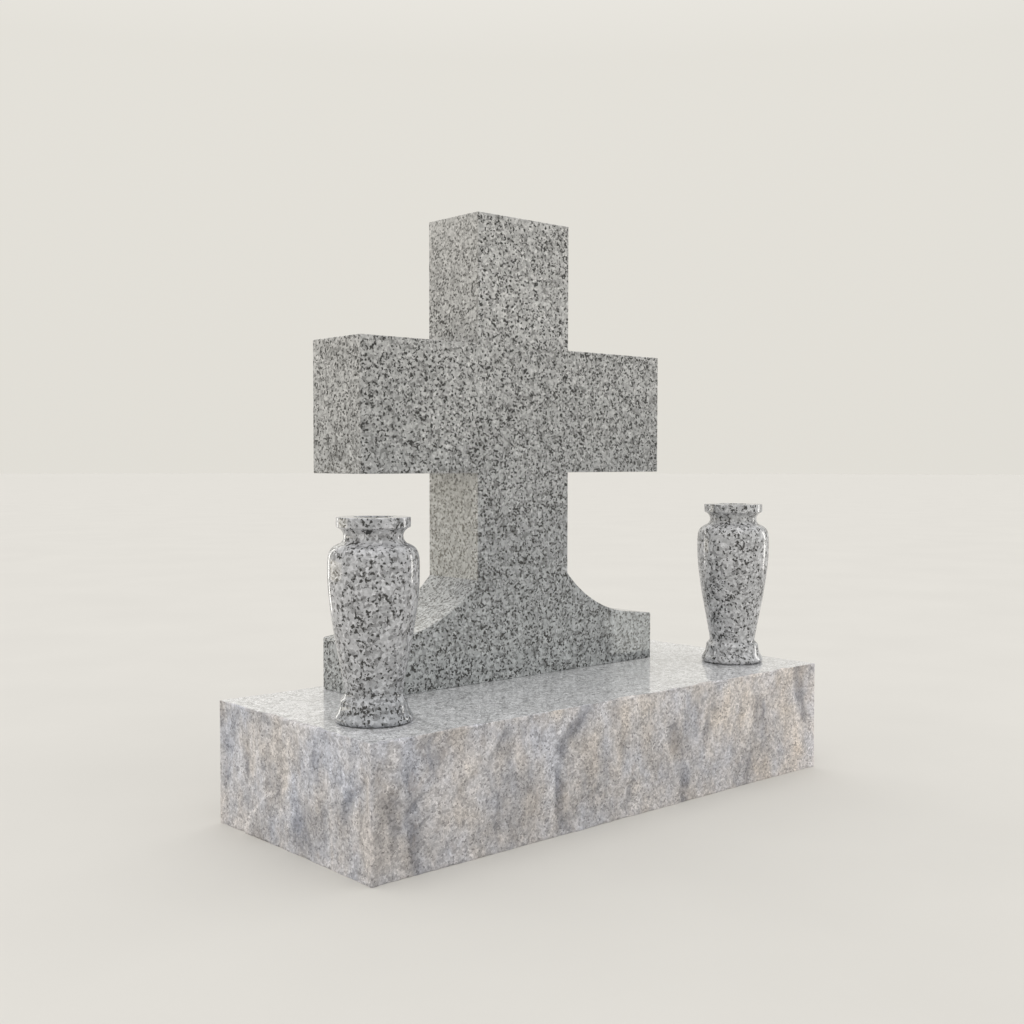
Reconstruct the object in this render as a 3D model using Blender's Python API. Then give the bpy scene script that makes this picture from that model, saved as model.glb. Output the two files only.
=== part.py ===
import math

import bmesh
import bpy
from mathutils import Matrix, Vector

# Granite cross memorial: a base block, a cross cut from one slab with its
# flared foot, and two turned vases. Metres, +Z up, +X along the base to the
# right, +Y to the back. The origin is the centre of the base's underside.

GAP = 0.0003            # bedding joint between two stones

# base block
BASE_L, BASE_D, BASE_H = 0.770, 0.312, 0.148
BASE_ARRIS = 0.0015
BASE_CORNER = 0.002     # wear on the four upright corners

# cross slab
CROSS_FRONT, CROSS_BACK = 0.036, 0.137
CROSS_BOTTOM = BASE_H + GAP
CROSS_TOP = 0.752
ARM_TOP, ARM_BOTTOM = 0.585, 0.4195
HALF_SHAFT, HALF_ARM, HALF_FOOT = 0.0805, 0.263, 0.250
CROSS_ARRIS = 0.0015
ARM_CORNER, FOOT_CORNER = 0.0028, 0.0040
# concave flare of the foot: an arc from the shaft's edge that runs out
# tangent to the sloping wash of the foot's ends
ARC_X, ARC_Z, ARC_R = 0.2223, 0.4079, 0.1897
WASH = math.radians(6.5)

# turned vases: radius and height of each part of the profile
VASE_X, VASE_Y = 0.3147, -0.063
VASE_BOTTOM = BASE_H + GAP
VASE_H = 0.2255
UNDERSIDE_R = 0.0400
FOOT_R, FOOT_Z = 0.0435, 0.0042
FILLET_R, FILLET_Z = 0.0371, 0.0230
WAIST_R, WAIST_Z = 0.0320, 0.0318
BELLY_R, BELLY_Z = 0.0508, 0.1640
SHOULDER_Z = 0.1710
CROWN_R, CROWN_Z = 0.0366, 0.1970
NECK_R, NECK_Z = 0.0328, 0.2046
RIM_R, RIM_Z = 0.0411, 0.2146
LIP_R, LIP_ROUND = 0.0398, 0.0012
BORE_R, BORE_FLOOR = 0.0215, 0.0750
VASE_SEGMENTS = 48


for thing in list(bpy.data.objects):
    bpy.data.objects.remove(thing, do_unlink=True)


def granite(name, colour, roughness):
    """Polished or pitched stone: one Principled BSDF."""
    material = bpy.data.materials.new(name)
    material.use_nodes = True
    shader = material.node_tree.nodes["Principled BSDF"]
    shader.inputs["Base Color"].default_value = (*colour, 1.0)
    shader.inputs["Roughness"].default_value = roughness
    shader.inputs["Metallic"].default_value = 0.0
    return material


def place(bm, name, material, location=(0.0, 0.0, 0.0)):
    """Turns a finished bmesh into one named object at its location."""
    many = [f for f in bm.faces if len(f.verts) > 4]
    bmesh.ops.triangulate(bm, faces=many, ngon_method="EAR_CLIP")
    bmesh.ops.recalc_face_normals(bm, faces=bm.faces)
    mesh = bpy.data.meshes.new(name)
    bm.to_mesh(mesh)
    bm.free()
    mesh.shade_smooth()
    mesh.set_sharp_from_angle(angle=math.radians(28))
    mesh.materials.append(material)
    thing = bpy.data.objects.new(name, mesh)
    thing.location = location
    bpy.context.scene.collection.objects.link(thing)
    return thing


def on_plane(bm, axis, value):
    """Edges that lie in the plane where one coordinate has that value."""
    return [e for e in bm.edges if all(abs(v.co[axis] - value) < 1e-6 for v in e.verts)]


def bevel(bm, edges, width, segments):
    bmesh.ops.bevel(bm, geom=edges, offset=width, offset_type="OFFSET", segments=segments,
                    profile=0.5, affect="EDGES", clamp_overlap=False)


def make_base():
    bm = bmesh.new()
    size = Matrix.Diagonal((BASE_L, BASE_D, BASE_H, 1.0))
    bmesh.ops.create_cube(bm, size=1.0, matrix=Matrix.Translation((0, 0, BASE_H / 2)) @ size)
    upright = [e for e in bm.edges if abs(e.verts[0].co.z - e.verts[1].co.z) > BASE_H / 2]
    bevel(bm, upright, BASE_CORNER, 3)
    bevel(bm, on_plane(bm, 2, BASE_H), BASE_ARRIS, 2)
    bevel(bm, on_plane(bm, 2, 0.0), 0.6 * BASE_ARRIS, 1)
    return place(bm, "base", granite("pitched granite", (0.47, 0.45, 0.44), 0.55))


def half_outline():
    """(x, z) down the cross's right side, from the head to the foot."""
    points = [(HALF_SHAFT, CROSS_TOP), (HALF_SHAFT, ARM_TOP), (HALF_ARM, ARM_TOP),
              (HALF_ARM, ARM_BOTTOM), (HALF_SHAFT, ARM_BOTTOM)]
    start = math.asin((ARC_X - HALF_SHAFT) / ARC_R)
    steps = 14
    for k in range(steps + 1):
        t = start + (WASH - start) * k / steps
        points.append((ARC_X - ARC_R * math.sin(t), ARC_Z - ARC_R * math.cos(t)))
    run_x, run_z = points[-1]
    points.append((HALF_FOOT, run_z - (HALF_FOOT - run_x) * math.tan(WASH)))
    points.append((HALF_FOOT, CROSS_BOTTOM))
    return points


def make_cross():
    right = half_outline()
    outline = right + [(-x, z) for x, z in reversed(right)]
    bm = bmesh.new()
    face = bm.faces.new([bm.verts.new((x, CROSS_FRONT, z)) for x, z in outline])
    swept = bmesh.ops.extrude_face_region(bm, geom=[face])["geom"]
    bmesh.ops.translate(bm, vec=(0, CROSS_BACK - CROSS_FRONT, 0),
                        verts=[g for g in swept if isinstance(g, bmesh.types.BMVert)])
    bm.normal_update()

    def through(x, z):
        """The edge from front to back at that corner of the outline."""
        return [e for e in bm.edges
                if all(abs(abs(v.co.x) - x) < 1e-6 and abs(v.co.z - z) < 1e-6 for v in e.verts)]

    foot_z = right[-2][1]
    outer = through(HALF_SHAFT, CROSS_TOP) + through(HALF_ARM, ARM_TOP) + through(HALF_ARM, ARM_BOTTOM)
    bevel(bm, outer, ARM_CORNER, 3)
    bevel(bm, through(HALF_FOOT, foot_z), FOOT_CORNER, 3)
    bevel(bm, on_plane(bm, 1, CROSS_FRONT) + on_plane(bm, 1, CROSS_BACK), CROSS_ARRIS, 2)
    return place(bm, "cross", granite("polished granite", (0.38, 0.39, 0.39), 0.10))


def sweep(start, leave, arrive, end, steps):
    """Points along a smooth curve between two (radius, height) stations, after
    the first. leave and arrive are the pulls at its two ends."""
    a, d = Vector(start), Vector(end)
    b, c = a + Vector(leave), d - Vector(arrive)
    out = []
    for k in range(1, steps + 1):
        t = k / steps
        s = 1 - t
        out.append(tuple(a * s ** 3 + b * 3 * t * s * s + c * 3 * t * t * s + d * t ** 3))
    return out


def vase_profile():
    """(radius, height) from the middle of the underside, up the outside,
    over the lip and down the bore to its floor."""
    points = [(0.0, 0.0), (UNDERSIDE_R, 0.0)]
    # rounded edge of the foot, cavetto, fillet and waist
    points += sweep(points[-1], (0.0019, 0.0), (0.0, 0.0023), (FOOT_R, FOOT_Z), 3)
    points += sweep(points[-1], (0.0, 0.0044), (0.0, 0.0117), (FILLET_R, FILLET_Z), 6)
    points += sweep(points[-1], (0.0, 0.0033), (0.0, 0.0038), (WAIST_R, WAIST_Z), 4)
    # body, shoulder, neck groove and rim
    points += sweep(points[-1], (0.0, 0.0102), (0.0, 0.0474), (BELLY_R, BELLY_Z), 8)
    points.append((BELLY_R, SHOULDER_Z))
    points += sweep(points[-1], (0.0, 0.0189), (-0.0102, 0.0043), (CROWN_R, CROWN_Z), 8)
    points += sweep(points[-1], (-0.0024, 0.0018), (0.0, 0.0035), (NECK_R, NECK_Z), 3)
    points += sweep(points[-1], (0.0, 0.0055), (0.0029, 0.0014), (RIM_R, RIM_Z), 5)
    points.append((RIM_R, VASE_H - LIP_ROUND))
    points.append((RIM_R - 0.3 * LIP_ROUND, VASE_H - 0.3 * LIP_ROUND))
    points.append((LIP_R, VASE_H))
    # mouth and bore
    points += [(BORE_R + LIP_ROUND, VASE_H), (BORE_R, VASE_H - LIP_ROUND)]
    points += sweep((BORE_R, BORE_FLOOR + 0.004), (0.0, -0.0022), (-0.0040, 0.0),
                    (BORE_R - 0.0075, BORE_FLOOR), 2)[-1:]
    points.insert(-1, (BORE_R, BORE_FLOOR + 0.004))
    points.insert(-1, (BORE_R - 0.0022, BORE_FLOOR + 0.0012))
    points.append((0.0, BORE_FLOOR))
    return points


def make_vase(name, x):
    bm = bmesh.new()
    chain = [bm.verts.new((r, 0.0, z)) for r, z in vase_profile()]
    edges = [bm.edges.new(pair) for pair in zip(chain[:-1], chain[1:])]
    bmesh.ops.spin(bm, geom=chain + edges, cent=(0, 0, 0), axis=(0, 0, 1),
                   angle=2 * math.pi, steps=VASE_SEGMENTS, use_merge=True)
    bmesh.ops.remove_doubles(bm, verts=bm.verts, dist=1e-6)
    stone = granite(name + " granite", (0.40, 0.41, 0.42), 0.12)
    return place(bm, name, stone, (x, VASE_Y, VASE_BOTTOM))


make_base()
make_cross()
make_vase("vase_left", -VASE_X)
make_vase("vase_right", VASE_X)
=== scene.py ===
import math

import bmesh
import bpy
import numpy as np
from mathutils import Matrix, Vector, noise


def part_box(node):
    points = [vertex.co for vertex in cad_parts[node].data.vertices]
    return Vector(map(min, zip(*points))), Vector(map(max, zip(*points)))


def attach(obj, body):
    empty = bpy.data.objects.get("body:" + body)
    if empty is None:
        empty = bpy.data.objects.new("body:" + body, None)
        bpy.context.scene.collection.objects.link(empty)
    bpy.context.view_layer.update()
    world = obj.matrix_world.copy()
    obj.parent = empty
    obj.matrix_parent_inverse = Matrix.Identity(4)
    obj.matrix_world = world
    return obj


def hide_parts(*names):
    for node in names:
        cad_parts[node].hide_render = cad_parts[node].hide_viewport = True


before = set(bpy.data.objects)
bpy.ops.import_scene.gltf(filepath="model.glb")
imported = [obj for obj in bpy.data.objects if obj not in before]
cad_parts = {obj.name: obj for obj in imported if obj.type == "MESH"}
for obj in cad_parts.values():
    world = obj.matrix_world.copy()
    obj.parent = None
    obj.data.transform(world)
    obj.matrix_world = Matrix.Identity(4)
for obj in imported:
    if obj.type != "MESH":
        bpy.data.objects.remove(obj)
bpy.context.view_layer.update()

# ---------------------------------------------------------------- camera
# Fitted to 23 corners of the object: focal length 1254.9 px in a square frame.
YAW, PITCH, ROLL = 0.729527, -0.041373, 0.001120
forward = Vector((math.sin(YAW) * math.cos(PITCH), math.cos(YAW) * math.cos(PITCH), math.sin(PITCH)))
flat_right = Vector((math.cos(YAW), -math.sin(YAW), 0.0))
flat_up = flat_right.cross(forward)
right = math.cos(ROLL) * flat_right + math.sin(ROLL) * flat_up
up = -math.sin(ROLL) * flat_right + math.cos(ROLL) * flat_up
camera_data = bpy.data.cameras.new("camera")
camera_data.sensor_fit = "HORIZONTAL"
camera_data.sensor_width = 36.0
camera_data.lens = 44.118
camera_data.clip_start = 0.05
camera = bpy.data.objects.new("camera", camera_data)
camera.matrix_world = Matrix((
    (right.x, up.x, -forward.x, -1.11928),
    (right.y, up.y, -forward.y, -1.19134),
    (right.z, up.z, -forward.z, 0.43617),
    (0, 0, 0, 1)))
bpy.context.scene.collection.objects.link(camera)
bpy.context.scene.camera = camera

view = bpy.context.scene.view_settings
view.view_transform = "Standard"
view.look = "None"
view.exposure = 0.0
view.gamma = 1.0


BASE_LO, BASE_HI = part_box("base")
CROSS_LO, CROSS_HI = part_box("cross")


# ---------------------------------------------------------------- node helper
class Graph:
    """A material's node tree, written as expressions."""

    def __init__(self, name):
        self.material = bpy.data.materials.new(name)
        self.material.use_nodes = True
        self.tree = self.material.node_tree
        self.tree.nodes.clear()
        self.out = self.tree.nodes.new("ShaderNodeOutputMaterial")
        self.shader = self.tree.nodes.new("ShaderNodeBsdfPrincipled")
        self.tree.links.new(self.shader.outputs[0], self.out.inputs["Surface"])
        self.coords = self.tree.nodes.new("ShaderNodeTexCoord").outputs["Object"]

    def put(self, socket, value):
        if isinstance(value, bpy.types.NodeSocket):
            self.tree.links.new(value, socket)
        elif value is not None:
            socket.default_value = value

    def math(self, op, a, b=None, c=None, clamp=False):
        n = self.tree.nodes.new("ShaderNodeMath")
        n.operation, n.use_clamp = op, clamp
        for socket, value in zip(n.inputs, (a, b, c)):
            self.put(socket, value)
        return n.outputs[0]

    def vector(self, op, a, b=None, scale=None):
        n = self.tree.nodes.new("ShaderNodeVectorMath")
        n.operation = op
        self.put(n.inputs[0], a)
        if b is not None:
            self.put(n.inputs[1], b)
        if scale is not None:
            self.put(n.inputs["Scale"], scale)
        return n.outputs["Value" if op in ("LENGTH", "DOT_PRODUCT", "DISTANCE") else "Vector"]

    def stretch(self, v, scale=(1, 1, 1), turn=(0, 0, 0), move=(0, 0, 0)):
        n = self.tree.nodes.new("ShaderNodeMapping")
        self.put(n.inputs["Vector"], v)
        n.inputs["Location"].default_value = move
        n.inputs["Rotation"].default_value = turn
        n.inputs["Scale"].default_value = scale
        return n.outputs[0]

    def noise(self, v, scale, detail=2.0, rough=0.5, colour=False):
        n = self.tree.nodes.new("ShaderNodeTexNoise")
        self.put(n.inputs["Vector"], v)
        n.inputs["Scale"].default_value = scale
        n.inputs["Detail"].default_value = detail
        n.inputs["Roughness"].default_value = rough
        return n.outputs[1 if colour else 0]

    def cells(self, v, scale, output="Color", feature="F1"):
        n = self.tree.nodes.new("ShaderNodeTexVoronoi")
        n.feature = feature
        self.put(n.inputs["Vector"], v)
        n.inputs["Scale"].default_value = scale
        return n.outputs[output]

    def split(self, colour):
        n = self.tree.nodes.new("ShaderNodeSeparateColor")
        self.put(n.inputs[0], colour)
        return n.outputs[0], n.outputs[1], n.outputs[2]

    def ramp(self, value, stops, how="LINEAR"):
        n = self.tree.nodes.new("ShaderNodeValToRGB")
        self.put(n.inputs[0], value)
        n.color_ramp.interpolation = how
        e = n.color_ramp.elements
        while len(e) < len(stops):
            e.new(0.5)
        for element, (at, colour) in zip(e, stops):
            element.position = at
            c = colour if isinstance(colour, (tuple, list)) else (colour,) * 3
            element.color = (*c, 1.0)
        return n.outputs[0]

    def mix(self, factor, a, b, how="MIX"):
        n = self.tree.nodes.new("ShaderNodeMix")
        n.data_type, n.blend_type = "RGBA", how
        self.put(n.inputs[0], factor)
        for socket, value in ((n.inputs[6], a), (n.inputs[7], b)):
            if isinstance(value, (tuple, list)):
                value = (*value[:3], 1.0)
            self.put(socket, value)
        return n.outputs[2]

    def spread(self, value, from_lo, from_hi, to_lo=0.0, to_hi=1.0):
        n = self.tree.nodes.new("ShaderNodeMapRange")
        n.clamp = True
        self.put(n.inputs[0], value)
        for socket, number in zip(list(n.inputs)[1:5], (from_lo, from_hi, to_lo, to_hi)):
            socket.default_value = number
        return n.outputs[0]

    def bump(self, height, strength, distance, normal=None):
        n = self.tree.nodes.new("ShaderNodeBump")
        n.inputs["Strength"].default_value = strength
        n.inputs["Distance"].default_value = distance
        self.put(n.inputs["Height"], height)
        if normal is not None:
            self.put(n.inputs["Normal"], normal)
        return n.outputs[0]

    def attribute(self, name):
        n = self.tree.nodes.new("ShaderNodeAttribute")
        n.attribute_name = name
        return n.outputs["Fac"]


def grains(g, size, black, dark, seed, crowding=0.60):
    """Interlocking crystals of a speckled granite: colour, a mask of the
    black mica, and the fine structure inside the crystals."""
    at = g.stretch(g.coords, move=(seed, 0.37 * seed, 0.61 * seed))
    wobble = g.noise(at, 0.75 / size, 2.0, 0.6, colour=True)
    wobble = g.vector("SCALE", g.vector("SUBTRACT", wobble, (0.5, 0.5, 0.5)), scale=1.5 * size)
    bent = g.vector("ADD", at, wobble)
    kind, shade, other = g.split(g.cells(bent, 1.0 / size))
    crowd = g.noise(at, 0.26 / size, 2.0, 0.55)
    # dark grains crowd together: the share of them follows a slower noise
    gather = g.math("MULTIPLY", g.math("SUBTRACT", crowd, 0.5), -crowding)
    kind = g.math("ADD", kind, gather)
    # grey quartz among pale feldspar
    colour = g.ramp(kind, [
        (0.0, (0.205, 0.202, 0.196)),
        (dark, (0.300, 0.297, 0.290)),
        (dark + 0.07, (0.415, 0.412, 0.404)),
        (0.75, (0.515, 0.510, 0.500)),
        (1.0, (0.610, 0.602, 0.590)),
    ])
    # each crystal has a shade of its own, with cleavage inside it
    inside = g.noise(bent, 1.7 / size, 3.0, 0.65)
    tone = g.math("ADD", g.math("MULTIPLY", shade, 0.24), g.math("MULTIPLY", inside, 0.50))
    colour = g.mix(1.0, colour, g.ramp(tone, [(0.16, 0.66), (0.60, 1.26)]), "MULTIPLY")
    # black mica: smaller flakes that gather in the same places
    flake = g.split(g.cells(g.stretch(bent, move=(3.1, 1.7, 0.4)), 1.38 / size))[0]
    flake = g.math("ADD", flake, gather)
    mask = g.spread(flake, black + 0.02, black - 0.01)
    colour = g.mix(mask, colour, (0.032, 0.031, 0.029))
    return colour, mask, inside


def polished(name, size, black, dark, seed, roughness, gain=1.0, calm=0.0, haze=0.0, tint=(1.0, 1.0, 1.0), crowding=0.60, layers=None):
    """Polished stone. calm pulls the grains towards their mean; haze is a
    second, clear polish over a softer one, as on a sealed top; layers is
    light and shade painted into the colour by height, with a slow wobble."""
    g = Graph(name)
    colour, mask, inside = grains(g, size, black, dark, seed, crowding)
    cloud = g.noise(g.coords, 9.0, 2.0, 0.5)
    low, high = (tuple(k * gain * t for t in tint) for k in (0.94, 1.06))
    colour = g.mix(1.0, colour, g.ramp(cloud, [(0.3, low), (0.7, high)]), "MULTIPLY")
    # painted light and shade: the colour is scaled by height in the piece
    if layers:
        drift = g.math("ADD", g.split(g.coords)[2], g.math("MULTIPLY", g.math("SUBTRACT", cloud, 0.5), 0.10))
        colour = g.mix(1.0, colour, g.ramp(drift, layers), "MULTIPLY")
    if calm:
        colour = g.mix(calm, colour, tuple(0.47 * gain * t for t in tint))
    # ground arrises are a little duller than the faces, and paler: partly wear, partly a painted highlight
    arris_wear_and_sheen = g.attribute("arris_wear_and_sheen")
    colour = g.mix(g.math("MULTIPLY", arris_wear_and_sheen, 0.25), colour, (0.54, 0.535, 0.52))
    g.put(g.shader.inputs["Base Color"], colour)
    # mica takes a slightly duller polish than feldspar
    rough = g.math("ADD", g.math("MULTIPLY", mask, 0.05), g.spread(inside, 0.3, 0.7, roughness * 0.8, roughness * 1.2))
    rough = g.math("ADD", rough, g.math("MULTIPLY", arris_wear_and_sheen, 0.22))
    g.put(g.shader.inputs["Roughness"], rough)
    g.put(g.shader.inputs["Normal"], g.bump(g.math("SUBTRACT", inside, g.math("MULTIPLY", mask, 0.8)), 0.05, 0.0002))
    g.shader.inputs["IOR"].default_value = 1.58
    if haze:
        g.shader.inputs["Coat Weight"].default_value = haze
        g.shader.inputs["Coat Roughness"].default_value = 0.035
        g.shader.inputs["Coat IOR"].default_value = 1.55
    return g.material


def pitched(name):
    """Broken face: fine bruised grain, facets and hollows with painted light and
    shade, warm and cool stains that don't follow the facets."""
    g = Graph(name)
    colour, mask, inside = grains(g, 0.0027, 0.060, 0.33, 2.0, 0.50)
    colour = g.mix(0.46, colour, (0.442, 0.434, 0.437))
    # crushed, sandy surface over the crystals
    sand = g.noise(g.stretch(g.coords, move=(6, 2, 4)), 620.0, 2.0, 0.6)
    colour = g.mix(1.0, colour, g.ramp(sand, [(0.32, 0.84), (0.68, 1.16)]), "MULTIPLY")
    # tone carries the painted light and shade of the facets, swells, hollows and corners, with the pale bruises
    tone = g.attribute("tone")
    slow = g.noise(g.stretch(g.coords, scale=(1, 1, 0.55)), 30.0, 4.0, 0.60)
    tone = g.math("ADD", tone, g.math("MULTIPLY", g.math("SUBTRACT", slow, 0.5), 0.62))
    # slanting streaks left by the pitching tool
    streak = g.noise(g.stretch(g.coords, scale=(1, 1, 0.30), turn=(0.10, 0.24, 0), move=(1, 5, 9)), 46.0, 2.0, 0.55)
    tone = g.math("ADD", tone, g.math("MULTIPLY", g.math("SUBTRACT", streak, 0.5), 0.50))
    # bruises a few grains across
    bruise = g.noise(g.stretch(g.coords, scale=(1, 1, 0.7), move=(2, 8, 3)), 115.0, 3.0, 0.62)
    tone = g.math("ADD", tone, g.math("MULTIPLY", g.math("SUBTRACT", bruise, 0.5), 0.56))
    light = g.ramp(tone, [
        (0.00, (0.690, 0.688, 0.722)),
        (0.24, (0.880, 0.873, 0.900)),
        (0.42, (1.10, 1.086, 1.100)),
        (0.62, (1.315, 1.292, 1.298)),
        (0.92, (1.560, 1.530, 1.525)),
    ])
    colour = g.mix(1.0, colour, light, "MULTIPLY")
    stain = g.noise(g.stretch(g.coords, scale=(1, 1, 0.6), move=(7, 3, 5)), 20.0, 3.0, 0.55)
    colour = g.mix(1.0, colour, g.ramp(stain, [(0.36, (0.945, 0.978, 1.055)), (0.5, (1.0, 0.992, 0.998)), (0.64, (1.042, 0.992, 0.935))]), "MULTIPLY")
    rust = g.noise(g.stretch(g.coords, scale=(1, 1, 0.6), move=(4, 0, 1)), 60.0, 3.0, 0.6)
    colour = g.mix(g.spread(rust, 0.58, 0.74, 0.0, 0.28), colour, (0.52, 0.45, 0.41))
    # the block drifts from cool grey at its left end to warm grey at its right, and is painted lighter towards its
    # right end, where more light falls
    along = g.spread(g.split(g.coords)[0], BASE_LO.x, BASE_HI.x)
    colour = g.mix(1.0, colour, g.ramp(along, [(0.0, (0.910, 0.925, 0.955)), (0.5, (0.970, 0.970, 0.972)), (1.0, (1.110, 1.080, 1.045))]), "MULTIPLY")
    g.put(g.shader.inputs["Base Color"], colour)
    g.put(g.shader.inputs["Roughness"], g.spread(inside, 0.3, 0.7, 0.55, 0.75))
    rough = g.noise(g.coords, 420.0, 3.0, 0.6)
    g.put(g.shader.inputs["Normal"], g.bump(g.math("ADD", rough, g.math("MULTIPLY", inside, 0.5)), 0.40, 0.0006))
    g.shader.inputs["IOR"].default_value = 1.5
    return g.material


def sawn(name):
    """Diamond-sawn underside: dull, with faint straight kerf lines."""
    g = Graph(name)
    colour, mask, inside = grains(g, 0.0030, 0.15, 0.22, 6.0)
    colour = g.mix(0.35, colour, (0.42, 0.415, 0.405))
    g.put(g.shader.inputs["Base Color"], colour)
    g.put(g.shader.inputs["Roughness"], g.spread(inside, 0.3, 0.7, 0.68, 0.82))
    kerf = g.noise(g.stretch(g.coords, scale=(6.0, 300.0, 1.0)), 1.0, 2.0, 0.5)
    g.put(g.shader.inputs["Normal"], g.bump(kerf, 0.3, 0.0005))
    return g.material


# painted light and shade: the cross is painted lighter at the head and darker and cooler down the shaft and foot
CROSS_STONE = polished("cross_granite", 0.0033, 0.184, 0.27, 4.3, 0.07, crowding=0.52, layers=[
    (0.16, (0.905, 0.950, 0.985)),
    (0.33, (0.800, 0.828, 0.868)),
    (0.48, (0.970, 0.985, 1.005)),
    (0.66, (1.11, 1.115, 1.130)),
    (0.76, (1.12, 1.125, 1.135)),
])
TOP_STONE = polished("base_top_granite", 0.0034, 0.120, 0.26, 3.0, 0.28, gain=1.66, calm=0.28, haze=0.9, tint=(0.980, 0.995, 1.04))
# painted shade: the vases are painted darker at the foot, where they stand on the block, and are also darker at the rim
LEFT_VASE_STONE = polished("left_vase_granite", 0.0034, 0.145, 0.24, 5.0, 0.06, gain=1.06, tint=(0.985, 1.005, 1.075), crowding=0.85, layers=[
    (0.15, (0.70, 0.72, 0.735)),
    (0.19, (0.87, 0.88, 0.885)),
    (0.25, (1.0, 1.0, 1.0)),
    (0.36, (1.0, 1.0, 1.0)),
    (0.38, (0.83, 0.84, 0.85)),
])
RIGHT_VASE_STONE = polished("right_vase_granite", 0.0034, 0.140, 0.24, 8.0, 0.06, gain=1.17, tint=(0.985, 1.005, 1.06), crowding=0.80, layers=[
    (0.15, (0.96, 0.96, 0.96)),
    (0.25, (1.0, 1.0, 1.0)),
    (0.36, (1.0, 1.0, 1.0)),
    (0.38, (0.92, 0.92, 0.92)),
])
SIDE_STONE = pitched("base_side_granite")
UNDER_STONE = sawn("base_underside_granite")


# ---------------------------------------------------------------- pieces
def to_object(bm, name, materials, flat_normals=True, sharp=28.0, plane=None):
    """plane tells which faces are parts of true planes and are shaded flat."""
    bmesh.ops.recalc_face_normals(bm, faces=bm.faces)
    mesh = bpy.data.meshes.new(name)
    bm.to_mesh(mesh)
    bm.free()
    for m in materials:
        mesh.materials.append(m)
    mesh.shade_smooth()
    mesh.set_sharp_from_angle(angle=math.radians(sharp))
    if plane:
        for face in mesh.polygons:
            if plane(face):
                face.use_smooth = False
    thing = bpy.data.objects.new(name, mesh)
    bpy.context.scene.collection.objects.link(thing)
    if flat_normals:
        keep = thing.modifiers.new("flat faces stay flat", "WEIGHTED_NORMAL")
        keep.mode = "FACE_AREA"
        keep.weight = 90
        keep.keep_sharp = True
    return thing


# cross: the slab's true outline with a fine arc and rounded arrises
ARM_TOP, ARM_BOTTOM = 0.585, 0.4195
HALF_SHAFT, HALF_ARM, HALF_FOOT = 0.0805, CROSS_HI.x, 0.250
ARC_X, ARC_Z, ARC_R, WASH = 0.2223, 0.4079, 0.1897, math.radians(6.5)


def make_cross():
    points = [(HALF_SHAFT, CROSS_HI.z), (HALF_SHAFT, ARM_TOP), (HALF_ARM, ARM_TOP),
              (HALF_ARM, ARM_BOTTOM), (HALF_SHAFT, ARM_BOTTOM)]
    start = math.asin((ARC_X - HALF_SHAFT) / ARC_R)
    steps = 72
    for k in range(steps + 1):
        t = start + (WASH - start) * k / steps
        points.append((ARC_X - ARC_R * math.sin(t), ARC_Z - ARC_R * math.cos(t)))
    foot_z = points[-1][1] - (HALF_FOOT - points[-1][0]) * math.tan(WASH)
    points.append((HALF_FOOT, foot_z))
    points.append((HALF_FOOT, CROSS_LO.z))
    outline = points + [(-x, z) for x, z in reversed(points)]
    bm = bmesh.new()
    front, back = CROSS_LO.y, CROSS_HI.y
    face = bm.faces.new([bm.verts.new((x, front, z)) for x, z in outline])
    swept = bmesh.ops.extrude_face_region(bm, geom=[face])["geom"]
    bmesh.ops.translate(bm, vec=(0, back - front, 0), verts=[v for v in swept if isinstance(v, bmesh.types.BMVert)])
    bm.normal_update()

    def through(x, z):
        return [e for e in bm.edges
                if all(abs(abs(v.co.x) - x) < 1e-6 and abs(v.co.z - z) < 1e-6 for v in e.verts)]

    def bevel(edges, width, segments):
        bmesh.ops.bevel(bm, geom=edges, offset=width, offset_type="OFFSET", segments=segments,
                        profile=0.5, affect="EDGES", clamp_overlap=False)

    bevel(through(HALF_SHAFT, CROSS_HI.z) + through(HALF_ARM, ARM_TOP) + through(HALF_ARM, ARM_BOTTOM), 0.0014, 5)
    bevel(through(HALF_FOOT, foot_z), 0.0028, 6)
    rim = [e for e in bm.edges
           if (all(abs(v.co.y - front) < 1e-6 for v in e.verts) or all(abs(v.co.y - back) < 1e-6 for v in e.verts))
           and any(v.co.z > CROSS_LO.z + 1e-6 for v in e.verts)]
    bevel(rim, 0.0009, 4)
    # arrises marked for wear and for a painted highlight
    arris_wear_and_sheen = bm.verts.layers.float.new("arris_wear_and_sheen")
    for v in bm.verts:
        inside = min(v.co.y - front, back - v.co.y)
        v[arris_wear_and_sheen] = 1.0 if 1e-5 < inside < 0.0009 - 1e-5 else 0.0
    bmesh.ops.triangulate(bm, faces=[f for f in bm.faces if len(f.verts) > 4], ngon_method="EAR_CLIP")
    return to_object(bm, "cross_stone", [CROSS_STONE], plane=lambda f: max(abs(c) for c in f.normal) > 0.99999)


def sweep(start, leave, arrive, end, steps):
    a, d = Vector(start), Vector(end)
    b, c = a + Vector(leave), d - Vector(arrive)
    out = []
    for k in range(1, steps + 1):
        t = k / steps
        s = 1 - t
        out.append(tuple(a * s ** 3 + b * 3 * t * s * s + c * 3 * t * t * s + d * t ** 3))
    return out


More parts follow.
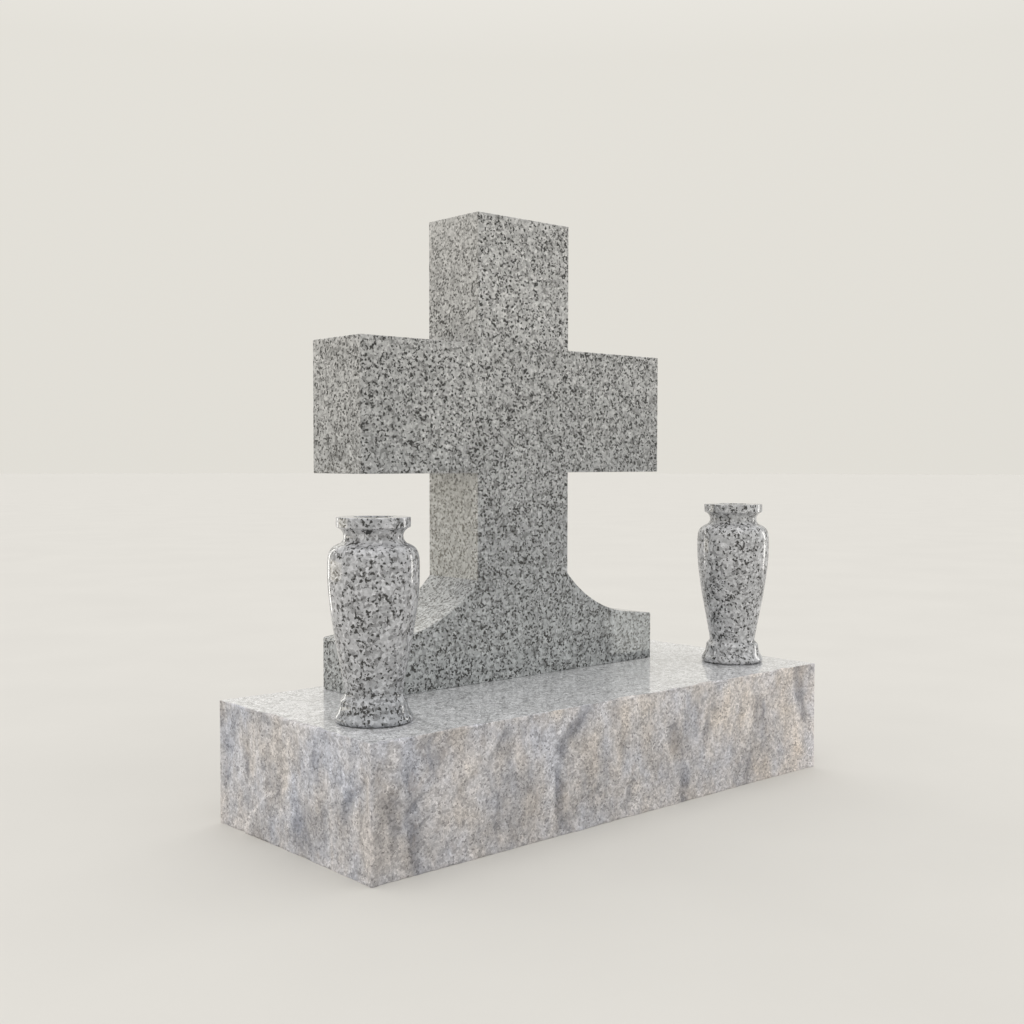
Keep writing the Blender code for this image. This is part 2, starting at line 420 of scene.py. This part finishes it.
def make_vase(node, name, stone):
    lo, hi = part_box(node)
    x, y, h = (lo.x + hi.x) / 2, (lo.y + hi.y) / 2, hi.z - lo.z
    p = [(0.0, 0.0), (0.0200, 0.0), (0.0400, 0.0)]
    p += sweep(p[-1], (0.0019, 0.0), (0.0, 0.0023), (0.0435, 0.0042), 8)
    p += sweep(p[-1], (0.0, 0.0044), (0.0, 0.0117), (0.0371, 0.0230), 16)
    p += sweep(p[-1], (0.0, 0.0033), (0.0, 0.0038), (0.0320, 0.0318), 12)
    p += sweep(p[-1], (0.0, 0.0102), (0.0, 0.0474), (0.0508, 0.1640), 36)
    p += sweep(p[-1], (0.0, 0.0030), (0.0, 0.0030), (0.0508, 0.1710), 2)
    p += sweep(p[-1], (0.0, 0.0189), (-0.0102, 0.0043), (0.0366, 0.1970), 24)
    p += sweep(p[-1], (-0.0024, 0.0018), (0.0, 0.0035), (0.0328, 0.2046), 8)
    p += sweep(p[-1], (0.0, 0.0055), (0.0029, 0.0014), (0.0406, 0.2143), 12)
    p += sweep(p[-1], (0.0003, 0.0002), (0.0, 0.0004), (0.0411, 0.2151), 3)
    p += [(0.0411, 0.2190), (0.0411, h - 0.0012)]
    p += sweep(p[-1], (0.0, 0.0007), (-0.0007, 0.0), (0.0399, h), 4)
    p += [(0.0310, h), (0.0227, h)]
    p += sweep(p[-1], (-0.0007, 0.0), (0.0, -0.0007), (0.0215, h - 0.0012), 4)
    p += [(0.0215, 0.1700), (0.0215, 0.1200), (0.0215, 0.0800)]
    p += sweep(p[-1], (0.0, -0.0028), (-0.0028, 0.0), (0.0165, 0.0750), 5)
    p += [(0.0080, 0.0750), (0.0, 0.0750)]
    bm = bmesh.new()
    chain = [bm.verts.new((r, 0.0, z)) for r, z in p]
    edges = [bm.edges.new(pair) for pair in zip(chain[:-1], chain[1:])]
    bmesh.ops.spin(bm, geom=chain + edges, cent=(0, 0, 0), axis=(0, 0, 1),
                   angle=2 * math.pi, steps=144, use_merge=True)
    bmesh.ops.remove_doubles(bm, verts=bm.verts, dist=1e-6)
    bmesh.ops.translate(bm, vec=(x, y, lo.z), verts=bm.verts)
    return to_object(bm, name, [stone], sharp=40.0)


# base block: polished top, rock-pitched sides, sawn underside
STEP = 0.0022
# hollows left by the pitching tool: distance along the face, height, half
# length, half width, lean from upright (radians), depth
FRONT_HOLLOWS = (
    (0.022, 0.066, 0.046, 0.013, 0.00, 0.0013),
    (0.078, 0.126, 0.018, 0.012, 0.15, 0.0013),
    (0.055, 0.045, 0.046, 0.007, -0.08, 0.0012),
    (0.172, 0.116, 0.032, 0.007, 0.52, 0.0022),
    (0.177, 0.036, 0.028, 0.008, 0.08, 0.0019),
    (0.290, 0.122, 0.036, 0.009, 0.74, 0.0027),
    (0.267, 0.048, 0.056, 0.007, -0.04, 0.0030),
    (0.376, 0.095, 0.018, 0.008, 0.10, 0.0014),
    (0.389, 0.030, 0.022, 0.006, 0.38, 0.0020),
    (0.466, 0.088, 0.032, 0.009, -0.52, 0.0023),
    (0.488, 0.018, 0.022, 0.008, 0.05, 0.0022),
    (0.540, 0.098, 0.038, 0.008, 0.42, 0.0032),
    (0.642, 0.098, 0.036, 0.015, -0.20, 0.0019),
    (0.738, 0.110, 0.044, 0.010, -0.26, 0.0029),
)
LEFT_HOLLOWS = (
    (0.012, 0.060, 0.050, 0.009, 0.00, 0.0014),
    (0.058, 0.088, 0.058, 0.009, 0.06, 0.0018),
    (0.130, 0.062, 0.016, 0.020, 0.30, 0.0015),
    (0.176, 0.036, 0.030, 0.024, 0.45, 0.0022),
    (0.205, 0.118, 0.026, 0.012, -0.10, 0.0012),
    (0.292, 0.070, 0.030, 0.008, 0.10, 0.0010),
)


def more_hollows(width, height, seed):
    rng = np.random.default_rng(seed)
    count = int(width / 0.055)
    return tuple((width * (k + rng.uniform(0.2, 0.8)) / count, height * rng.uniform(0.15, 0.85), rng.uniform(0.018, 0.055),
                  rng.uniform(0.007, 0.014), rng.uniform(-0.5, 0.6), rng.uniform(0.0013, 0.0030)) for k in range(count))


def facets(width, height, count, tilt, seed):
    """Broken-stone relief over one face: planes with random tilts, each
    ruling the patch round its own centre. Returns a function of (s, z)."""
    rng = np.random.default_rng(seed)
    s0 = rng.uniform(-0.02, width + 0.02, count)
    z0 = rng.uniform(-0.02, height + 0.02, count)
    gs, gz = rng.normal(0, tilt, count), rng.normal(0, 0.8 * tilt, count)
    lean = rng.normal(0, 0.5, count)
    level = rng.normal(0, 0.35, count)

    def at(s, z, cell_s, cell_z):
        ds = s[:, None] - s0[None, :]
        dz = z[:, None] - z0[None, :]
        d2 = ((ds - lean * dz) / cell_s) ** 2 + (dz / cell_z) ** 2
        near = d2.min(axis=1, keepdims=True)
        w = np.exp(-(d2 - near) * 5.0)
        w /= w.sum(axis=1, keepdims=True)
        plane = gs * ds + gz * dz + level * 0.001
        return (w * plane).sum(axis=1)
    return at


def noise_grid(ring, heights, scale, shift, flat=1.0):
    """Smooth noise at every point of the walk round the base."""
    out = np.zeros(heights.shape)
    for row in range(heights.shape[0]):
        for j in range(len(ring)):
            out[row, j] = noise.noise(Vector((ring[j][0] * scale + shift, ring[j][1] * scale, heights[row, j] * scale * flat)))
    return out


def make_base():
    half_x, half_y, high = BASE_HI.x, BASE_HI.y, BASE_HI.z
    corner = 0.0010
    # walk round the plan: four faces and four small rounded corners
    nx, ny = round((2 * half_x - 2 * corner) / STEP), round((2 * half_y - 2 * corner) / STEP)
    ring = []  # (x, y, outward x, outward y, face, distance along the face)
    faces = [((-half_x, -half_y), (1, 0), (0, -1), 2 * half_x, nx),
             ((half_x, -half_y), (0, 1), (1, 0), 2 * half_y, ny),
             ((half_x, half_y), (-1, 0), (0, 1), 2 * half_x, nx),
             ((-half_x, half_y), (0, -1), (-1, 0), 2 * half_y, ny)]
    for i, (start, along, out, length, n) in enumerate(faces):
        for k in range(n + 1):
            s = corner + (length - 2 * corner) * k / n
            ring.append((start[0] + along[0] * s, start[1] + along[1] * s, out[0], out[1], i, s))
        turn_out = faces[(i + 1) % 4][2]
        cx = start[0] + along[0] * (length - corner) - out[0] * corner
        cy = start[1] + along[1] * (length - corner) - out[1] * corner
        for k in (1, 2):
            a = math.radians(30 * k)
            ox, oy = out[0] * math.cos(a) + turn_out[0] * math.sin(a), out[1] * math.cos(a) + turn_out[1] * math.sin(a)
            ring.append((cx + ox * corner, cy + oy * corner, ox, oy, i, length))
    ring = np.array(ring)
    n = len(ring)
    # the arris under the polished top is bruised: its drop and its setback
    # change along the edge
    along_edge = lambda scale, shift: np.array([noise.noise(Vector((r[0] * scale + shift, r[1] * scale, shift))) for r in ring])
    bruise = np.clip(2.4 * along_edge(24.0, 3.7), 0, 1) * (0.75 + 0.9 * along_edge(85.0, 1.3))
    length = np.array([faces[int(f)][3] for f in ring[:, 4]])
    edge = np.minimum(ring[:, 5], length - ring[:, 5])
    calm = np.clip(edge / 0.012, 0, 1)  # none at the upright corners
    setback = 0.0007 + calm * (0.0056 * np.clip(bruise, 0, 1) + 0.0014 * np.clip(along_edge(160.0, 5.1), 0, 1))
    drop = 0.0006 + 0.60 * (setback - 0.0007)
    chip = 0.0005 + calm * (0.0030 * np.clip(along_edge(60.0, 8.3), 0, 1) + 0.0020 * np.clip(along_edge(190.0, 2.9), 0, 1))
    plain = np.concatenate([[0.0, 0.0012], np.linspace(0.0032, high - 0.0072, round(high / STEP) - 4)])
    turn = np.radians(np.linspace(0, 90, 6))
    heights = np.vstack([np.repeat(plain[:, None], n, axis=1),
                         high - drop[None, :] * (1 - np.sin(turn))[:, None]])
    m, flat_rows = heights.shape[0], len(plain)

    relief = np.zeros((m, n))
    tone = np.zeros((m, n))
    broad = noise_grid(ring, heights, 11.0, 4.0, 0.8)
    # the painted shade in a hollow is patchy, and pale bruises lie under the top arris
    hollow_shade_patches = np.clip(0.80 + 1.3 * noise_grid(ring, heights, 75.0, 9.0, 0.7), 0.1, 1.6)
    pale = np.clip(2.0 * noise_grid(ring, heights, 34.0, 6.0), 0, 1) * np.exp(-np.clip(high - heights, 0, None) / 0.022)
    for i, (_, _, _, length, _) in enumerate(faces):
        big = facets(length, high, int(length * high / (0.034 * 0.044)), 0.080, 11 + i)
        small = facets(length, high, int(length * high / (0.012 * 0.014)), 0.100, 31 + i)
        hollows = {0: FRONT_HOLLOWS, 3: LEFT_HOLLOWS}.get(i) or more_hollows(length, high, 50 + i)
        pick = np.where(ring[:, 4] == i)[0]
        s = ring[pick, 5]
        for row in range(m):
            zz = heights[row, pick]
            height = big(s, zz, 0.026, 0.034) + 0.5 * small(s, zz, 0.010, 0.012) + 0.0022 * broad[row, pick]
            # painted light on the broad swells of the face, and pale bruises under the top arris
            shade = 0.29 * broad[row, pick] + 0.36 * pale[row, pick]
            for s0, z0, half_long, half_wide, lean, depth in hollows:
                sway = 0.16 * half_wide * np.sin((zz - z0) * 95.0 + 40.0 * s0)
                across = ((s - s0 - sway) * math.cos(lean) - (zz - z0) * math.sin(lean)) / half_wide
                down = ((s - s0) * math.sin(lean) + (zz - z0) * math.cos(lean)) / half_long
                reach = np.exp(-1.1 * down ** 2 - 0.35 * down ** 4)
                cut = np.exp(-np.where(across < 0, (across / 0.75) ** 2, (across / 1.25) ** 2)) * reach
                crest = np.exp(-((across + 1.55) / 0.55) ** 2) * reach
                height += -0.72 * depth * cut + 0.25 * depth * crest
                # painted shade in each hollow and painted light on its crest
                shade += (-0.70 * cut * hollow_shade_patches[row, pick] + 0.28 * crest) * depth / 0.0028
            relief[row, pick] = height
            tone[row, pick] = shade
    rough = 0.6 * noise_grid(ring, heights, 150.0, 0.0) + 0.4 * noise_grid(ring, heights, 330.0, 0.0)
    depth = 0.66 * relief + 0.00042 * rough
    depth -= np.percentile(depth, 96)
    depth = np.clip(depth, -0.0058, 0.0)
    # the relief dies out towards the top arris, the foot and the upright corners
    fade_z = np.clip((high - heights) / 0.012, 0, 1) * np.clip((heights + 0.004) / 0.012, 0.25, 1)
    fade_s = np.clip(edge / 0.016, 0.08, 1)[None, :]
    inward = depth * (0.14 + 0.86 * fade_z) * fade_s
    inward[flat_rows:] -= setback[None, :] * (1 - np.cos(turn))[:, None]
    inward[0] -= chip
    inward[1] -= 0.45 * chip
    inward[2] -= 0.12 * chip

    bm = bmesh.new()
    tone_layer = bm.verts.layers.float.new("tone")
    # painted light: facets that lean one way are painted lighter than the others
    slope = np.gradient(relief, axis=1) / STEP
    kernel = np.ones(5) / 5
    slope = np.apply_along_axis(lambda r: np.convolve(r, kernel, "same"), 1, slope)
    # painted highlight: a pale line down each upright corner
    tone = 0.54 + tone + 0.55 * slope + 0.08 * np.exp(-edge / 0.0035)[None, :]
    grid = []
    for row in range(m):
        line = []
        for j in range(n):
            v = bm.verts.new((ring[j, 0] + ring[j, 2] * inward[row, j], ring[j, 1] + ring[j, 3] * inward[row, j], heights[row, j]))
            v[tone_layer] = float(np.clip(tone[row, j], 0, 1))
            line.append(v)
        grid.append(line)
    for row in range(m - 1):
        for j in range(n):
            k = (j + 1) % n
            f = bm.faces.new((grid[row][j], grid[row][k], grid[row + 1][k], grid[row + 1][j]))
            f.material_index = 0
    # polished top and sawn underside: a band from the uneven edge to a
    # straight inner rectangle, then triangles from there to the middle
    margin = 0.010
    for loop, material, z in ((grid[-1], 1, high), (grid[0], 2, 0.0)):
        inner = []
        for j in range(n):
            v = bm.verts.new((float(np.clip(ring[j, 0], margin - half_x, half_x - margin)),
                              float(np.clip(ring[j, 1], margin - half_y, half_y - margin)), z))
            v[tone_layer] = 0.6
            inner.append(v)
        middle = bm.verts.new((0.0, 0.0, z))
        for j in range(n):
            k = (j + 1) % n
            if (inner[j].co - inner[k].co).length < 1e-7:
                made = [bm.faces.new((loop[j], loop[k], inner[j]))]
            else:
                made = [bm.faces.new((loop[j], loop[k], inner[k], inner[j])), bm.faces.new((inner[j], inner[k], middle))]
            for f in made:
                f.material_index = material
    bmesh.ops.remove_doubles(bm, verts=bm.verts, dist=1e-7)
    return to_object(bm, "base_stone", [SIDE_STONE, TOP_STONE, UNDER_STONE], sharp=50.0,
                     plane=lambda f: f.material_index > 0)


pieces = [
    (make_cross(), "cross", "polished_granite"),
    (make_vase("vase_left", "left_vase_stone", LEFT_VASE_STONE), "vase_left", "turned_granite"),
    (make_vase("vase_right", "right_vase_stone", RIGHT_VASE_STONE), "vase_right", "turned_granite"),
    (make_base(), "base", "pitched_granite"),
]
for piece, node, slot in pieces:
    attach(piece, "root")
    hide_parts(node)


# ---------------------------------------------------------------- floor, light
def make_floor():
    bm = bmesh.new()
    bmesh.ops.create_circle(bm, cap_ends=True, cap_tris=True, segments=96, radius=40.0)
    mesh = bpy.data.meshes.new("floor")
    bm.to_mesh(mesh)
    bm.free()
    g = Graph("pale_floor")
    mottle = g.noise(g.coords, 3.0, 3.0, 0.5)
    g.put(g.shader.inputs["Base Color"], g.ramp(mottle, [(0.3, (0.655, 0.641, 0.612)), (0.7, (0.678, 0.664, 0.634))]))
    g.put(g.shader.inputs["Roughness"], g.spread(mottle, 0.3, 0.7, 0.75, 0.85))
    g.shader.inputs["Specular IOR Level"].default_value = 0.2
    mesh.materials.append(g.material)
    thing = bpy.data.objects.new("floor", mesh)
    thing.location = (0, 0, -0.0002)
    bpy.context.scene.collection.objects.link(thing)


def make_world():
    """Soft daylight dome: brighter overhead, warm to the left and behind,
    cooler and a little dimmer to the front right."""
    world = bpy.data.worlds.new("studio")
    bpy.context.scene.world = world
    world.use_nodes = True
    t = world.node_tree
    t.nodes.clear()
    out = t.nodes.new("ShaderNodeOutputWorld")
    back = t.nodes.new("ShaderNodeBackground")
    where = t.nodes.new("ShaderNodeTexCoord")
    split = t.nodes.new("ShaderNodeSeparateXYZ")
    height = t.nodes.new("ShaderNodeValToRGB")
    side = t.nodes.new("ShaderNodeVectorMath")
    side.operation = "DOT_PRODUCT"
    side.inputs[1].default_value = (0.5, -0.85, 0.0)
    turn = t.nodes.new("ShaderNodeValToRGB")
    both = t.nodes.new("ShaderNodeMix")
    both.data_type, both.blend_type = "RGBA", "MULTIPLY"
    both.inputs[0].default_value = 1.0
    t.links.new(where.outputs["Generated"], split.inputs[0])
    t.links.new(where.outputs["Generated"], side.inputs[0])
    t.links.new(split.outputs["Z"], height.inputs[0])
    t.links.new(side.outputs["Value"], turn.inputs[0])
    for ramp, stops in (
        (height, ((0.0, (0.755, 0.733, 0.677)), (0.3, (0.775, 0.753, 0.697)), (0.6, (1.03, 1.010, 0.975)), (1.0, (1.58, 1.565, 1.545)))),
        (turn, ((0.0, (1.0, 1.0, 1.0)), (0.6, (0.955, 0.970, 0.985)), (1.0, (0.935, 0.955, 0.975)))),
    ):
        e = ramp.color_ramp.elements
        while len(e) < len(stops):
            e.new(0.5)
        for element, (at, colour) in zip(e, stops):
            element.position = at
            element.color = (*colour, 1)
    t.links.new(height.outputs[0], both.inputs[6])
    t.links.new(turn.outputs[0], both.inputs[7])
    t.links.new(both.outputs[2], back.inputs["Color"])
    back.inputs["Strength"].default_value = 1.0
    t.links.new(back.outputs[0], out.inputs[0])


def softbox(name, place, aim, width, height, radiance, colour, diffuse=True, glossy=True, on=None, shape="RECTANGLE"):
    """A flat light that falls on the stone only, not on the floor."""
    data = bpy.data.lights.new(name, "AREA")
    data.shape = shape
    data.size, data.size_y = width, height
    data.energy = 4.0 * radiance * width * height
    data.color = colour
    light = bpy.data.objects.new(name, data)
    light.location = place
    direction = Vector(aim) - Vector(place)
    light.rotation_euler = direction.to_track_quat("-Z", "Y").to_euler()
    light.visible_camera = False
    light.visible_diffuse, light.visible_glossy = diffuse, glossy
    light.light_linking.receiver_collection = on or STONE
    bpy.context.scene.collection.objects.link(light)


STONE, BLOCK, CROSS, VASES = (bpy.data.collections.new(name) for name in ("stone", "block", "slab", "vases"))
for piece, node, slot in pieces:
    STONE.objects.link(piece)
    {"base": BLOCK, "cross": CROSS}.get(node, VASES).objects.link(piece)

make_floor()
make_world()
# low warm panel to the back left and a low fill to the front right
softbox("panel_left", (-1.45, 1.60, 0.22), (0.0, 0.09, 0.30), 1.80, 0.35, 1.25, (1.0, 0.93, 0.76))
softbox("fill_right", (1.30, -1.00, 0.16), (0.30, -0.10, 0.20), 0.80, 0.30, 0.95, (0.98, 0.98, 1.0), glossy=False)
for k, grow in enumerate((0.0, 0.018, 0.036)):
    softbox("low_right_%d" % k, (0.302, -0.014 - 0.1 * grow, 0.186), (0.302, 0.036, 0.186), 0.150 + grow, 0.120 + grow, 0.46,
            (1.0, 1.0, 0.93), diffuse=False, on=CROSS, shape="ELLIPSE")
# light that comes back from the floor on to the block's sides
softbox("bounce_right", (0.95, -0.62, 0.09), (0.37, -0.15, 0.07), 0.45, 0.16, 2.5, (0.96, 0.98, 1.0), glossy=False, on=BLOCK)
softbox("bounce_left", (-1.25, -0.12, 0.04), (-0.385, 0.0, 0.06), 1.00, 0.12, 3.6, (0.94, 0.98, 1.0), glossy=False, on=BLOCK)
# soft light from the back, seen in the concave flare of the foot
softbox("panel_back", (0.15, 2.10, 1.40), (-0.10, 0.05, 0.20), 1.80, 0.90, 0.45, (1.0, 0.97, 0.86))
# upright strips that draw the bright lines down the vases' edges
softbox("strip_right", (1.70, -0.62, 0.45), (0.0, -0.09, 0.30), 0.29, 0.90, 3.4, (1.0, 0.98, 0.94), diffuse=False, on=VASES)
softbox("strip_back", (-0.30, 1.30, 0.45), (0.0, -0.06, 0.30), 0.16, 0.90, 2.8, (1.0, 0.98, 0.93), diffuse=False, on=VASES)
